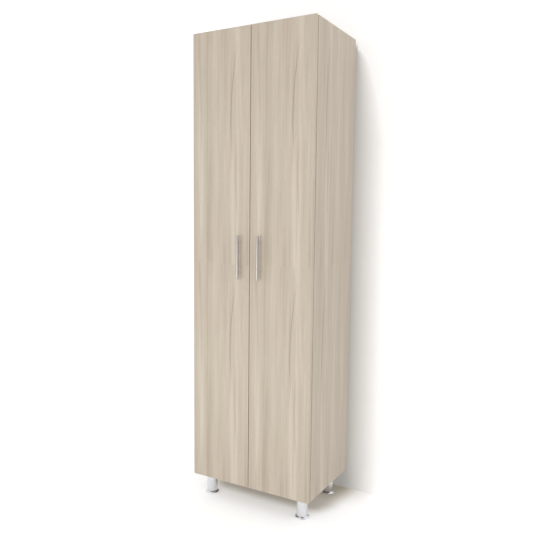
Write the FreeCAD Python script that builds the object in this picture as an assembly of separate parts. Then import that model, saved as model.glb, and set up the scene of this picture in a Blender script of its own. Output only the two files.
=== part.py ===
import FreeCAD, Part
import os

# Tall two-door storage cupboard in 18 mm laminated chipboard on four chromed levelling legs.
# Millimetres. X runs to the right, Y to the back and Z up, from the floor under the middle of the
# whole cupboard, handles included.

# Body
body_width = 600.0
body_depth = 385.0
body_height = 2000.0
leg_height = 100.0
board = 18.0

# Doors, which cover the whole front
door_thickness = 18.0
door_gap = 2.0
door_reveal = 1.5
door_parting = 3.0
door_edge_bevel = 1.0

# Back panel, held in grooves of the sides and the top
back_thickness = 3.0
back_inset = 17.0
groove_depth = 6.0
groove_play = 0.25

# Shelves
shelf_setback = 20.0
shelf_end_play = 1.0
shelf_back_play = 2.0
loose_shelves_each_side = 2

# Bar handles
bar_diameter = 12.0
bar_length = 188.0
bar_end_bevel = 0.8
bar_standoff = 20.0
bar_inset = 48.5
bar_middle_height = 1032.0
post_spacing = 128.0
post_diameter = 9.0

# Levelling legs
leg_side_inset = 60.0
leg_front_inset = 45.0
leg_back_inset = 62.0
tube_diameter = 50.0
tube_wall = 1.5
foot_diameter = 65.0
foot_height = 11.0
foot_rim_height = 6.0
foot_travel_room = 0.2

# Cup hinges, three on each door. The pivots are measured from the outer front corner of the side
# board: first towards the inside of the cupboard, then towards its back.
hinge_end_distance = 100.0
hinge_shelf_gap = 12.0
arm_outer_pivot = (36.0, 5.0)
arm_inner_pivot = (38.0, 12.0)
cup_outer_pivot = (12.0, -6.0)
cup_inner_pivot = (10.5, -11.0)
outer_link_bends = [(18.3, -9.7), (23.5, -6.9)]
inner_link_bends = [(23.4, -11.3), (25.8, -6.8), (28.8, 3.8)]
outer_link_half_width = 2.4
inner_link_half_width = 1.8
pin_diameter = 2.5
running_clearance = 0.05
inner_link_thickness = 6.4
outer_link_thickness = 1.5
link_side_gap = 1.3
arm_side_gap = 1.2
arm_sheet = 1.2

# Cup of a hinge
cup_diameter = 35.0
cup_edge_distance = 4.5
cup_depth = 13.0
cup_wall = 0.8
cup_bore_play = 0.1
cup_flange = 1.0
cup_flange_width = 22.0
cup_flange_length = 62.0
cup_flange_offset = 6.0

# Arm and mounting plate of a hinge
arm_web_distance = 22.6
arm_length = 62.0
arm_nose_radius = 3.2
arm_flange_reach = 3.0
plate_thickness = 2.0
plate_wing_distance = 37.0
plate_wing_length = 50.0
plate_wing_width = 12.0
boss_height = 8.0
boss_start = 24.0
boss_side_play = 0.3

# Pins and fittings. Small ones have eight flat sides in place of a round, wider ones sixteen.
fit_clearance = 0.05
peg_sides = 8
disc_sides = 16
shelf_pin_diameter = 5.0
shelf_pin_depth = 8.0
shelf_pin_reach = 9.0
shelf_pin_inset = 45.0
cam_diameter = 15.0
cam_height = 12.5
cam_distance = 34.0
cam_end_room = 0.5
cam_bolt_diameter = 7.0
cam_bolt_bore = 8.0
cam_bolt_thread = 5.0
cam_bolt_grip = 11.0
dowel_diameter = 8.0
dowel_length = 30.0
dowel_in_side = 10.0
joint_inset = 50.0
joint_pitch = 64.0
bumper_diameter = 9.0
bumper_thickness = 1.9
bumper_inset = 9.0
leg_plate_diameter = 76.0
leg_plate_thickness = 2.0
plug_length = 14.0
stud_diameter = 10.0
stud_length = 38.0
overrun = 5.0

# Places worked out from the sizes above
bar_front = bar_standoff + bar_diameter / 2
whole_depth = bar_front + door_thickness + door_gap + body_depth
door_front_y = bar_front - whole_depth / 2
door_back_y = door_front_y + door_thickness
front_y = door_back_y + door_gap
rear_y = front_y + body_depth
left_x = -body_width / 2
inner_x = left_x + board
body_bottom = leg_height
body_top = leg_height + body_height
back_front_y = rear_y - back_inset - back_thickness
door_width = (body_width - door_reveal * 2 - door_parting) / 2
door_edge_x = left_x + door_reveal
cup_middle = door_reveal + cup_edge_distance + cup_diameter / 2
fixed_shelf_z = body_bottom + (body_height - board) / 2
eighth_turn_share = 2 ** 0.5 - 1
eye_diameter = (pin_diameter + running_clearance * 2) * (1 + eighth_turn_share ** 2) ** 0.5
outer_link_start = inner_link_thickness / 2 + link_side_gap
arm_half_width = outer_link_start + outer_link_thickness + arm_side_gap + arm_sheet
X = FreeCAD.Vector(1, 0, 0)
Y = FreeCAD.Vector(0, 1, 0)
Z = FreeCAD.Vector(0, 0, 1)


def box(x, y, z):
    """A block between the pairs of limits x, y and z."""
    size = (x[1] - x[0], y[1] - y[0], z[1] - z[0])
    return Part.makeBox(size[0], size[1], size[2], FreeCAD.Vector(x[0], y[0], z[0]))


def rod(diameter, length, place, direction):
    """A round bar of this length that starts at place and runs along direction."""
    return Part.makeCylinder(diameter / 2, length, FreeCAD.Vector(*place), direction)


def mirrored(shape):
    """The same piece on the right-hand side of the cupboard."""
    return shape.mirror(FreeCAD.Vector(0, 0, 0), X)


def both_sides(shapes):
    """The pieces of the left side and their twins on the right."""
    return list(shapes) + [mirrored(shape) for shape in shapes]


def cut_all(shape, tools):
    """The shape with every tool taken out of it."""
    return shape.cut(Part.makeCompound(list(tools)))


def peg(across, length, place, direction, sides=peg_sides):
    """A bar or a bore with flat sides, across measured over its corners."""
    start = FreeCAD.Vector(*place)
    corner = (X if direction.z else Z) * (across / 2)
    turns = [FreeCAD.Rotation(direction, 360 / sides * step) for step in range(sides)]
    corners = [start + turn.multVec(corner) for turn in turns]
    face = Part.Face(Part.makePolygon(corners + corners[:1]))
    return face.extrude(direction * length)


def export(name, shapes):
    """Writes one sub-part, a single solid or a group of separate ones."""
    whole = shapes[0] if len(shapes) == 1 else Part.makeCompound(shapes)
    whole.exportStep(os.path.join("parts", name + ".step"))


# Corner joints: two cam bolts and two dowels at each end of the top, the bottom and the middle shelf

joint_levels = [
    body_bottom + board / 2,
    fixed_shelf_z + board / 2,
    body_top - board / 2,
]
joint_places = [
    (front_y + joint_inset, joint_pitch),
    (back_front_y - joint_inset, -joint_pitch),
]


def cam_bolt(y, z):
    """A steel bolt: its thin end is screwed into the side board, its thick end is held by the cam."""
    thread = peg(cam_bolt_thread, cam_bolt_grip, (inner_x - cam_bolt_grip, y, z), X)
    shank = peg(cam_bolt_diameter, cam_distance, (inner_x, y, z), X)
    return thread.fuse(shank).removeSplitter()


def cam_lock(y, z):
    """A round cam let into the underside of the board, with a radial slot for the bolt."""
    top = z + cam_height - board / 2
    disc = peg(cam_diameter, cam_height, (inner_x + cam_distance, y, top - cam_height), Z)
    slot = peg(cam_bolt_bore, cam_distance + fit_clearance, (inner_x, y, z), X)
    return disc.cut(slot)


def cam_bores(y, z):
    """The two bores in the board: a blind one from below for the cam, one from the end for the bolt."""
    across = cam_diameter + fit_clearance * 2
    low = z - board / 2
    middle = (inner_x + cam_distance, y, low - overrun)
    blind = peg(across, overrun + cam_height + cam_end_room, middle, Z)
    end = peg(cam_bolt_bore, cam_distance + overrun, (inner_x - overrun, y, z), X)
    return [blind, end]


def dowel(y, z):
    """A beech dowel across the joint."""
    return peg(dowel_diameter, dowel_length, (inner_x - dowel_in_side, y, z), X)


def dowel_bore(y, z):
    """The bore for a dowel, through the joint in both boards."""
    across = dowel_diameter + fit_clearance * 2
    start = inner_x - dowel_in_side - cam_end_room
    return peg(across, dowel_length + cam_end_room * 2, (start, y, z), X)


def bolt_bore(y, z):
    """The bore in the side board for the thin end of a cam bolt."""
    across = cam_bolt_thread + fit_clearance * 2
    start = inner_x - cam_bolt_grip - cam_end_room
    return peg(across, cam_bolt_grip + cam_end_room + overrun, (start, y, z), X)


def at_joints(piece, shift_share=0, levels=joint_levels):
    """The piece at each joint of the left side, moved by a share of the joint's pitch."""
    return [piece(y + step * shift_share, z) for z in levels for y, step in joint_places]


# Shelf pins

def loose_shelf_levels():
    """The undersides of the adjustable shelves, evenly spaced in the two halves of the body."""
    levels = []
    halves = [
        (body_bottom + board, fixed_shelf_z),
        (fixed_shelf_z + board, body_top - board),
    ]
    for low, high in halves:
        room = high - low - board * loose_shelves_each_side
        pitch = room / (loose_shelves_each_side + 1) + board
        levels += [low + pitch * (step + 1) - board for step in range(loose_shelves_each_side)]
    return levels


shelf_front_y = front_y + shelf_setback
shelf_back_y = back_front_y - shelf_back_play
pin_lines = [shelf_front_y + shelf_pin_inset, shelf_back_y - shelf_pin_inset]
pin_drop = shelf_pin_diameter / 2 + fit_clearance


def shelf_pin(y, z):
    """A push-in pin, half in the side board and half under the shelf."""
    start = inner_x - shelf_pin_depth
    return peg(shelf_pin_diameter, shelf_pin_depth + shelf_pin_reach, (start, y, z), X)


def pin_hole(y, z):
    """One hole of the row that the shelf pins are pushed into."""
    across = shelf_pin_diameter + fit_clearance * 2
    start = inner_x - shelf_pin_depth - cam_end_room
    return peg(across, shelf_pin_depth + cam_end_room + overrun, (start, y, z), X)


# Boards of the body

hinge_levels = [
    body_bottom + hinge_end_distance,
    fixed_shelf_z - hinge_shelf_gap - plate_wing_length / 2,
    body_top - hinge_end_distance,
]


def back_groove(x, z):
    """The groove for the back panel, cut over the limits x and z."""
    low = back_front_y - groove_play
    return box(x, (low, low + back_thickness + groove_play * 2), z)


def side_board():
    """The left side: full height, with its groove and every hole drilled from the inside."""
    blank = box((left_x, inner_x), (front_y, rear_y), (body_bottom, body_top))
    groove_top = body_top - board + groove_depth
    groove = back_groove((inner_x - groove_depth, inner_x + overrun), (body_bottom - overrun, groove_top))
    holes = at_joints(bolt_bore) + at_joints(dowel_bore, 1)
    holes += [pin_hole(y, level - pin_drop) for level in loose_shelf_levels() for y in pin_lines]
    return cut_all(blank, [groove] + holes)


def cross_board(low, depth_end, level):
    """A board between the sides, bored at both ends for its cams, bolts and dowels."""
    blank = box((inner_x, -inner_x), (front_y, depth_end), (low, low + board))
    bores = []
    for pair in at_joints(cam_bores, 0, [level]):
        bores += pair
    bores += at_joints(dowel_bore, 1, [level])
    return cut_all(blank, both_sides(bores))


def top_board():
    """The top, grooved underneath near the rear for the back panel."""
    low = body_top - board
    plain = cross_board(low, rear_y, joint_levels[2])
    groove = back_groove((inner_x - overrun, -inner_x + overrun), (low - overrun, low + groove_depth))
    return plain.cut(groove)


def bottom_board():
    """The bottom, short enough for the back panel to pass behind it."""
    return cross_board(body_bottom, back_front_y - groove_play, joint_levels[0])


def middle_board():
    """The fixed shelf half way up, which ties the sides together."""
    return cross_board(fixed_shelf_z, back_front_y - groove_play, joint_levels[1])


def loose_shelf(level):
    """An adjustable shelf that lies on four pins."""
    end = inner_x + shelf_end_play
    return box((end, -end), (shelf_front_y, shelf_back_y), (level, level + board))


def back_board():
    """The thin hardboard back, slid up from below into its grooves."""
    edge = inner_x - groove_depth + groove_play
    top = body_top - board + groove_depth - groove_play
    return box((edge, -edge), (back_front_y, back_front_y + back_thickness), (body_bottom, top))


# Hinges. Each piece is drawn for one hinge of the left door, about its own mid-height.

def hinge_point(pair, z):
    """A place given from the outer front corner of the side board."""
    return FreeCAD.Vector(left_x + pair[0], front_y + pair[1], z)


def at_hinges(shapes):
    """The shapes of one hinge, repeated at each height."""
    copies = []
    for level in hinge_levels:
        for shape in shapes:
            copy = shape.copy()
            copy.translate(Z * level)
            copies.append(copy)
    return copies


def pin(pair, low, high, across=pin_diameter):
    """An upright pin or bore at a pivot, between two heights."""
    return peg(across, high - low, tuple(hinge_point(pair, low)), Z)


def blunt_end(place, way, half_width):
    """Four outline points round a pivot, like half of an eight-sided bar that looks along way."""
    side = Z.cross(way) * half_width
    ahead = way * half_width
    return [
        place + side + ahead * eighth_turn_share,
        place + side * eighth_turn_share + ahead,
        place - side * eighth_turn_share + ahead,
        place - side + ahead * eighth_turn_share,
    ]


def prism(corners, height):
    """The upright solid over an outline."""
    return Part.Face(Part.makePolygon(corners + corners[:1])).extrude(Z * height)


def strap(path, half_width, low, high):
    """A flat link along a path, mitred at its bends and blunt at its ends."""
    points = [hinge_point(pair, low) for pair in path]
    ways = [(end - start).normalize() for start, end in zip(points[:-1], points[1:])]
    left = []
    right = []
    for place, before, after in zip(points[1:-1], ways[:-1], ways[1:]):
        mitre = Z.cross(before + after) * (half_width / (1 + before.dot(after)))
        left.append(place + mitre)
        right.append(place - mitre)
    far_end = blunt_end(points[-1], ways[-1], half_width)
    near_end = blunt_end(points[0], -ways[0], half_width)
    return prism(left + far_end + right[::-1] + near_end, high - low)


def above_and_below(make):
    """A piece in the upper half of a hinge and its twin in the lower half."""
    upper = make()
    return [upper, upper.mirror(FreeCAD.Vector(0, 0, 0), Z)]


def outer_link_plate():
    """One cheek of the outer link, with an eye at the arm and one at the cup."""
    low = outer_link_start
    high = low + outer_link_thickness
    path = [cup_outer_pivot] + outer_link_bends + [arm_outer_pivot]
    blank = strap(path, outer_link_half_width, low, high)
    eyes = [pin(pair, low - overrun, high + overrun, eye_diameter) for pair in (path[0], path[-1])]
    return cut_all(blank, eyes)


def inner_link():
    """The gooseneck between the outer cheeks; its cup end is the open pivot."""
    half = inner_link_thickness / 2
    path = [cup_inner_pivot] + inner_link_bends + [arm_inner_pivot]
    blank = strap(path, inner_link_half_width, -half, half)
    return blank.cut(pin(arm_inner_pivot, -half - overrun, half + overrun, eye_diameter))


def arm_flange_plate():
    """One side of the arm: a nose round the two pivots, then a straight cheek over the boss."""
    low = arm_half_width - arm_sheet
    outside = board + arm_web_distance + arm_sheet
    inside = board + arm_flange_reach
    outline = [
        (arm_outer_pivot[0] - arm_nose_radius, arm_inner_pivot[1] + arm_nose_radius),
        (inside, boss_start),
        (inside, arm_length),
        (outside, arm_length),
        (outside, arm_inner_pivot[1] - arm_nose_radius),
    ]
    nose = blunt_end(hinge_point(arm_outer_pivot, low), -Y, arm_nose_radius)
    return prism(nose + [hinge_point(pair, low) for pair in outline], arm_sheet)


def arm():
    """The arm: a channel open towards the side board, with two pins riveted across its nose."""
    half = arm_half_width
    near = left_x + board + arm_web_distance
    web = box(
        (near, near + arm_sheet),
        (front_y + arm_inner_pivot[1] + arm_nose_radius, front_y + arm_length),
        (-half, half),
    )
    cheeks = above_and_below(arm_flange_plate)
    pins = [pin(pair, -half, half) for pair in (arm_outer_pivot, arm_inner_pivot)]
    return web.fuse(cheeks + pins).removeSplitter()


def mounting_plate():
    """The plate on the side board: a winged base and a boss that the arm is slid over."""
    middle = front_y + plate_wing_distance
    base = box(
        (inner_x, inner_x + plate_thickness),
        (middle - plate_wing_width / 2, middle + plate_wing_width / 2),
        (-plate_wing_length / 2, plate_wing_length / 2),
    )
    half = arm_half_width - arm_sheet - boss_side_play
    boss = box((inner_x, inner_x + boss_height), (front_y + boss_start, front_y + arm_length), (-half, half))
    return base.fuse(boss).removeSplitter()


def cup_pin_end(pair):
    """One pin end, which stands in from the cup's wall; the inner link passes between two of them."""
    inside = inner_link_thickness / 2 + link_side_gap / 2
    furthest = cup_middle - pair[0] + pin_diameter / 2
    outside = ((cup_diameter / 2) ** 2 - furthest ** 2) ** 0.5
    return peg(pin_diameter, outside - inside, tuple(hinge_point(pair, inside)), Z)


def cup():
    """The pressed cup, open at the mouth, with its flange and the four pin ends held in its walls."""
    radius = cup_diameter / 2
    mouth = FreeCAD.Vector(left_x + cup_middle, door_back_y, 0)
    body = Part.makeCylinder(radius, cup_depth, mouth, -Y)
    near = left_x + cup_middle + cup_flange_offset - cup_flange_width / 2
    flange = box(
        (near, near + cup_flange_width),
        (door_back_y, door_back_y + cup_flange),
        (-cup_flange_length / 2, cup_flange_length / 2),
    )
    depth = cup_depth - cup_wall
    hollow = Part.makeCylinder(radius - cup_wall, depth + overrun, mouth + Y * overrun, -Y)
    pin_ends = above_and_below(lambda: cup_pin_end(cup_outer_pivot))
    pin_ends += above_and_below(lambda: cup_pin_end(cup_inner_pivot))
    return body.fuse(flange).cut(hollow).fuse(pin_ends).removeSplitter()


# Doors and handles

bar_x = -door_parting / 2 - bar_inset
bar_y = door_front_y - bar_standoff
post_levels = [
    body_bottom + bar_middle_height - post_spacing / 2,
    body_bottom + bar_middle_height + post_spacing / 2,
]


def cup_bores():
    """The bores of the left door for its cups."""
    mouth = FreeCAD.Vector(left_x + cup_middle, door_back_y + overrun, 0)
    across = cup_diameter + cup_bore_play * 2
    return at_hinges([Part.makeCylinder(across / 2, cup_depth + cup_bore_play + overrun, mouth, -Y)])


def door_board():
    """The left door: a laminated board with its front arrises slightly bevelled."""
    blank = box(
        (door_edge_x, door_edge_x + door_width), (door_front_y, door_back_y), (body_bottom, body_top)
    )
    front_edges = [edge for edge in blank.Edges if edge.BoundBox.YMax < door_back_y - door_edge_bevel]
    bevelled = blank.makeChamfer(door_edge_bevel, front_edges)
    return cut_all(bevelled, cup_bores())


def handle_bar():
    """The round bar, with its ends slightly bevelled."""
    low = body_bottom + bar_middle_height - bar_length / 2
    bar = rod(bar_diameter, bar_length, (bar_x, bar_y, low), Z)
    ends = [edge for edge in bar.Edges if edge.BoundBox.ZLength < bar_end_bevel]
    return bar.makeChamfer(bar_end_bevel, ends)


def handle_posts():
    """Two posts between the door and the bar, hollowed at one end to fit round it."""
    bar = rod(bar_diameter, bar_length, (bar_x, bar_y, post_levels[0] - bar_length / 4), Z)
    return [rod(post_diameter, bar_standoff, (bar_x, bar_y, z), Y).cut(bar) for z in post_levels]


def bumpers():
    """Two clear bumpers on the inside of the door's free edge, against the top and the bottom."""
    x = -door_parting / 2 - bumper_inset
    return [
        peg(bumper_diameter, bumper_thickness, (x, door_back_y, z), Y)
        for z in (body_bottom + board / 2, body_top - board / 2)
    ]


# Legs. Each is drawn about its own axis and then moved to its place.

leg_places = {
    "front_left": (left_x + leg_side_inset, front_y + leg_front_inset),
    "front_right": (-left_x - leg_side_inset, front_y + leg_front_inset),
    "back_left": (left_x + leg_side_inset, rear_y - leg_back_inset),
    "back_right": (-left_x - leg_side_inset, rear_y - leg_back_inset),
}
tube_bottom = foot_height + foot_travel_room
tube_top = leg_height - leg_plate_thickness


def at_legs(shapes):
    """The shapes of one leg, repeated at the four places."""
    copies = []
    for place in leg_places.values():
        for shape in shapes:
            copy = shape.copy()
            copy.translate(FreeCAD.Vector(place[0], place[1], 0))
            copies.append(copy)
    return copies


def leg_plate():
    """The round steel plate under the bottom board."""
    return peg(leg_plate_diameter, leg_plate_thickness, (0, 0, tube_top), Z, disc_sides)


def leg_tube():
    """The chromed tube, welded to its plate."""
    length = tube_top - tube_bottom
    outside = rod(tube_diameter, length, (0, 0, tube_bottom), Z)
    inside = rod(tube_diameter - tube_wall * 2, length + overrun * 2, (0, 0, tube_bottom - overrun), Z)
    return outside.cut(inside)


def leg_plug():
    """The plug pressed into the tube's lower end, bored for the foot's stud."""
    across = tube_diameter - tube_wall * 2 - fit_clearance * 2
    body = peg(across, plug_length, (0, 0, tube_bottom), Z, disc_sides)
    low = tube_bottom - overrun
    return body.cut(peg(stud_diameter + running_clearance * 2, plug_length + overrun * 2, (0, 0, low), Z))


def foot():
    """The turned foot: a flat base, a sharp rim, a shoulder under the tube and a stud."""
    base = foot_diameter / 2 - foot_rim_height / 3
    profile = [
        (0, 0),
        (base, 0),
        (foot_diameter / 2, foot_rim_height / 2),
        (base, foot_rim_height),
        (tube_diameter / 2, foot_height),
        (0, foot_height),
    ]
    points = [FreeCAD.Vector(radius, 0, z) for radius, z in profile]
    outline = Part.Face(Part.makePolygon(points + points[:1]))
    turned = outline.revolve(FreeCAD.Vector(0, 0, 0), Z, 360)
    stud = peg(stud_diameter, stud_length, (0, 0, foot_height), Z)
    return turned.fuse(stud).removeSplitter()


def export_body():
    """Writes the boards and the fittings that stay with the body."""
    side = side_board()
    export("side_panel_left", [side])
    export("side_panel_right", [mirrored(side)])
    export("top_panel", [top_board()])
    export("bottom_panel", [bottom_board()])
    export("fixed_shelf", [middle_board()])
    export("back_panel", [back_board()])
    for count, level in enumerate(loose_shelf_levels(), 1):
        export("shelf_" + str(count), [loose_shelf(level)])
    pins = [shelf_pin(y, level - pin_drop) for level in loose_shelf_levels() for y in pin_lines]
    export("shelf_pins", both_sides(pins))
    export("cam_bolts", both_sides(at_joints(cam_bolt)))
    export("cam_locks", both_sides(at_joints(cam_lock)))
    export("wood_dowels", both_sides(at_joints(dowel, 1)))


def export_hinges():
    """Writes the hinges' fixed pieces, and their links for each side."""
    export("hinge_plates", both_sides(at_hinges([mounting_plate()])))
    export("hinge_arms", both_sides(at_hinges([arm()])))
    outer = at_hinges(above_and_below(outer_link_plate))
    inner = at_hinges([inner_link()])
    export("left_outer_links", outer)
    export("left_inner_links", inner)
    export("right_outer_links", [mirrored(shape) for shape in outer])
    export("right_inner_links", [mirrored(shape) for shape in inner])


def export_doors():
    """Writes the left door's pieces and their mirror images."""
    pieces = {
        "door_panel": [door_board()],
        "hinge_cups": at_hinges([cup()]),
        "handle_bar": [handle_bar()],
        "handle_posts": handle_posts(),
        "door_bumpers": bumpers(),
    }
    for name, shapes in pieces.items():
        export("left_" + name, shapes)
        export("right_" + name, [mirrored(shape) for shape in shapes])


def export_legs():
    """Writes the fixed pieces of the legs as groups, and each foot by itself."""
    export("leg_plates", at_legs([leg_plate()]))
    export("leg_tubes", at_legs([leg_tube()]))
    export("leg_plugs", at_legs([leg_plug()]))
    for name, shape in zip(leg_places, at_legs([foot()])):
        export("foot_" + name, [shape])


os.makedirs("parts", exist_ok=True)
export_body()
export_hinges()
export_doors()
export_legs()
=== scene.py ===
import bmesh
import bpy
import numpy as np
from mathutils import Matrix, Vector


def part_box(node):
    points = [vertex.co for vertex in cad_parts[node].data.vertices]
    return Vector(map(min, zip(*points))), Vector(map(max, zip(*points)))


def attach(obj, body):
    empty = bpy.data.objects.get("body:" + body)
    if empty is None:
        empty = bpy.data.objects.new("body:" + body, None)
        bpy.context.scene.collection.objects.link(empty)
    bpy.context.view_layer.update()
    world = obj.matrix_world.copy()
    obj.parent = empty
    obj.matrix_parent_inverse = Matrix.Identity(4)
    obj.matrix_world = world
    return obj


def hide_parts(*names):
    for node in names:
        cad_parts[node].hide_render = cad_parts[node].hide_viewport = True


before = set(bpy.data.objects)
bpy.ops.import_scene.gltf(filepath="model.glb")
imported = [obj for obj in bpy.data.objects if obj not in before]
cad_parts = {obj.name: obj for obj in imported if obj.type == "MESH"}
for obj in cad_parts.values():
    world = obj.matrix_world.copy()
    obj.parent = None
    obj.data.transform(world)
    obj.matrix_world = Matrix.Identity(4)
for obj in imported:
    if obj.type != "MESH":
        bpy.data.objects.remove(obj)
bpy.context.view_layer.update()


# Side boards, top, bottom and shelves: 18 mm chipboard faced and edged with a pale ash laminate whose
# printed grain runs along each board and repeats every metre. The sides stand full height and are
# drilled inside for the shelf pins; the others are held between them.
laminate_mean = (205, 192, 175)
laminate_light = (217, 205, 188)
laminate_dark = (190, 176, 158)
laminate_vein = (160, 144, 126)
laminate_rose = (206, 191, 176)
laminate_green = (204, 193, 174)
hole_board_and_shade = (84, 68, 52)
decor_repeat = 1.0
decor_start = 0.1
vein_from_front = 0.11
# Each row of streaks gives their width, their length, and the detail and the seed of the noise.
sway_streaks = (0.15, 0.8, 1.0, 3.1)
broad_streaks = (0.043, 0.65, 1.0, 52.7)
middle_streaks = (0.024, 0.45, 2.0, 26.4)
fine_streaks = (0.007, 0.30, 2.0, 2.2)
tint_streaks = (0.05, 0.6, 1.0, 11.3)
pore_streaks = (0.0008, 0.02, 1.0, 5.7)
streak_roughness = 0.55
sway_reach = 0.010
broad_share = 0.42
middle_share = 0.34
fine_share = 0.24
shade_darkest = 0.36
shade_middle = 0.50
shade_lightest = 0.64
tint_rosy = 0.40
tint_greenish = 0.60
tint_share = 0.6
pore_start = 0.60
pore_full = 0.74
pore_share = 0.3
noise_low = 0.3
noise_high = 0.7
# Each row of bands and veins gives the seven numbers that one_vein asks for, after along.
light_bands = (
    (0.190, 0.004, 0.72, 0.0130, 0.80, 0.28, 0.55),
    (0.065, 0.002, 0.20, 0.0110, 0.18, 0.24, 0.55),
)
dark_veins = (
    (0.220, 0.020, 0.72, 0.0028, 0.80, 0.26, 0.80),
    (0.236, 0.010, 0.52, 0.0060, 0.46, 0.20, 0.35),
    (0.142, 0.006, 0.30, 0.0022, 0.28, 0.16, 0.45),
    (0.048, 0.008, 0.90, 0.0020, 0.86, 0.14, 0.40),
    (0.091, 0.003, 0.35, 0.0140, 0.32, 0.36, 0.30),
    (0.225, 0.002, 0.35, 0.0060, 0.36, 0.30, 0.22),
    (0.078, 0.002, 0.80, 0.0080, 0.88, 0.24, 0.25),
    (0.266, 0.002, 0.80, 0.0120, 0.83, 0.18, 0.18),
)
vein_core_share = 0.4
end_facing = 0.7
laminate_smooth = 0.46
laminate_rough = 0.56
laminate_sheen = 0.35
grain_relief = (0.12, 0.0002)
# The spare shelf-pin holes are painted on the sides as dark dots, for the raw board and the shade inside.
spare_hole_radius = 0.0025
spare_hole_pitch = 0.032
spare_holes_each_way = 2.5
hole_edge_share = 0.85
pin_drop = 0.00255
side_low, side_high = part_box("side_panel_right")
pin_box_low, pin_box_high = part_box("shelf_pins")
pin_lines = (pin_box_low.y + spare_hole_radius, pin_box_high.y - spare_hole_radius)
shelf_levels = [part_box("shelf_" + str(count))[0].z for count in (1, 2, 3, 4)]


def linear(colour):
    """The linear share of each channel of a screen colour: ((c + 0.055) / 1.055) to the power 2.4."""
    share = np.array(colour, float) / 255
    return tuple(((share + 0.055) / 1.055) ** 2.4) + (1.0,)


def new_material(name):
    """An empty node material and its shader."""
    material = bpy.data.materials.new(name)
    material.use_nodes = True
    return material, material.node_tree, material.node_tree.nodes["Principled BSDF"]


def set_inputs(node, inputs):
    """Gives a node its inputs, each a value, or a socket to join it to."""
    for key, value in inputs.items():
        if isinstance(value, bpy.types.NodeSocket):
            node.id_data.links.new(value, node.inputs[key])
        else:
            node.inputs[key].default_value = value


def add_node(kind, inputs, **settings):
    """A node of this kind with its inputs given and its settings made, in the tree of the sockets given."""
    tree = next(value.id_data for value in inputs.values() if isinstance(value, bpy.types.NodeSocket))
    made = tree.nodes.new(kind)
    for key, value in settings.items():
        setattr(made, key, value)
    set_inputs(made, inputs)
    return made


def sum_of(operation, first, second=0.0, third=0.0):
    """The result of one sum on up to three numbers."""
    return add_node("ShaderNodeMath", {0: first, 1: second, 2: third}, operation=operation).outputs[0]


def times(first, second):
    """The first number times the second."""
    return sum_of("MULTIPLY", first, second)


def less(first, second):
    """The first number less the second."""
    return sum_of("SUBTRACT", first, second)


def ramp_of(value, low, high, start=0.0, end=1.0):
    """The value carried smoothly from low..high to start..end."""
    inputs = {"Value": value, "From Min": low, "From Max": high, "To Min": start, "To Max": end}
    return add_node("ShaderNodeMapRange", inputs, interpolation_type="SMOOTHSTEP").outputs[0]


def mix_of(share, first, second):
    """Two colours mixed by a share."""
    inputs = {0: share, 6: first, 7: second}
    return add_node("ShaderNodeMix", inputs, data_type="RGBA").outputs[2]


def place_of(tree):
    """The place of the surface in the shared frame."""
    return tree.nodes.new("ShaderNodeTexCoord").outputs["Object"]


def parts_of(place):
    """The X, Y and Z of a place."""
    return add_node("ShaderNodeSeparateXYZ", {0: place}).outputs


def dot_of(first, second):
    """The dot product of two places or directions."""
    return add_node("ShaderNodeVectorMath", {0: first, 1: second}, operation="DOT_PRODUCT").outputs[1]


def dress(shader, colour, rough, metal=0.0):
    """Gives the shader its colour, its roughness and how far it is metal."""
    set_inputs(shader, {"Base Color": colour, "Roughness": rough, "Metallic": metal})


def relief(shader, height, strength, depth):
    """Fine relief, as the slope of a height that is depth metres at most."""
    bump = {"Height": height, "Strength": strength, "Distance": depth}
    set_inputs(shader, {"Normal": add_node("ShaderNodeBump", bump).outputs[0]})


def noise_at(parts, detail, size="3D", **fourth):
    """Noise at the place that has these parts, and a fourth, W, where the size is 4D."""
    place = add_node("ShaderNodeCombineXYZ", parts).outputs[0]
    noise = {"Vector": place, "Scale": 1.0, "Detail": detail, "Roughness": streak_roughness} | fourth
    return add_node("ShaderNodeTexNoise", noise, noise_dimensions=size).outputs[0]


def streaks(across, along, width, length, detail, seed):
    """Noise drawn out along the grain into streaks of about this width and length."""
    parts = {0: sum_of("DIVIDE", across, width), 1: sum_of("DIVIDE", along, length), 2: seed}
    return noise_at(parts, detail)


def meeting_streaks(across, turn, width, length, detail, seed):
    """Streaks that run round a ring as long as one repeat of the print, so that they meet end to end: the
    noise is taken at across / width, radius * cos(turn) and radius * sin(turn), and at the seed.
    """
    radius = decor_repeat / (2 * np.pi * length)
    parts = {
        0: sum_of("DIVIDE", across, width),
        1: times(sum_of("COSINE", turn), radius),
        2: times(sum_of("SINE", turn), radius),
    }
    return noise_at(parts, detail, "4D", W=seed)


def one_vein(across, along, middle, sway, nearest, width, peak, reach, depth):
    """A line along the grain, at middle - sway * cos(turn from its nearest place) across it. It fades
    from its depth in the middle to nothing at its width, and from its peak to nothing at its reach.
    """
    turn = times(less(along, nearest), 2 * np.pi / decor_repeat)
    bend = sum_of("MULTIPLY_ADD", sum_of("COSINE", turn), -sway, middle)
    away = sum_of("ABSOLUTE", less(across, bend))
    thin = ramp_of(away, width, 0.0)
    far = sum_of("ABSOLUTE", less(along, peak))
    line = times(thin, ramp_of(far, reach, reach * vein_core_share))
    return times(line, depth)


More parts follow.
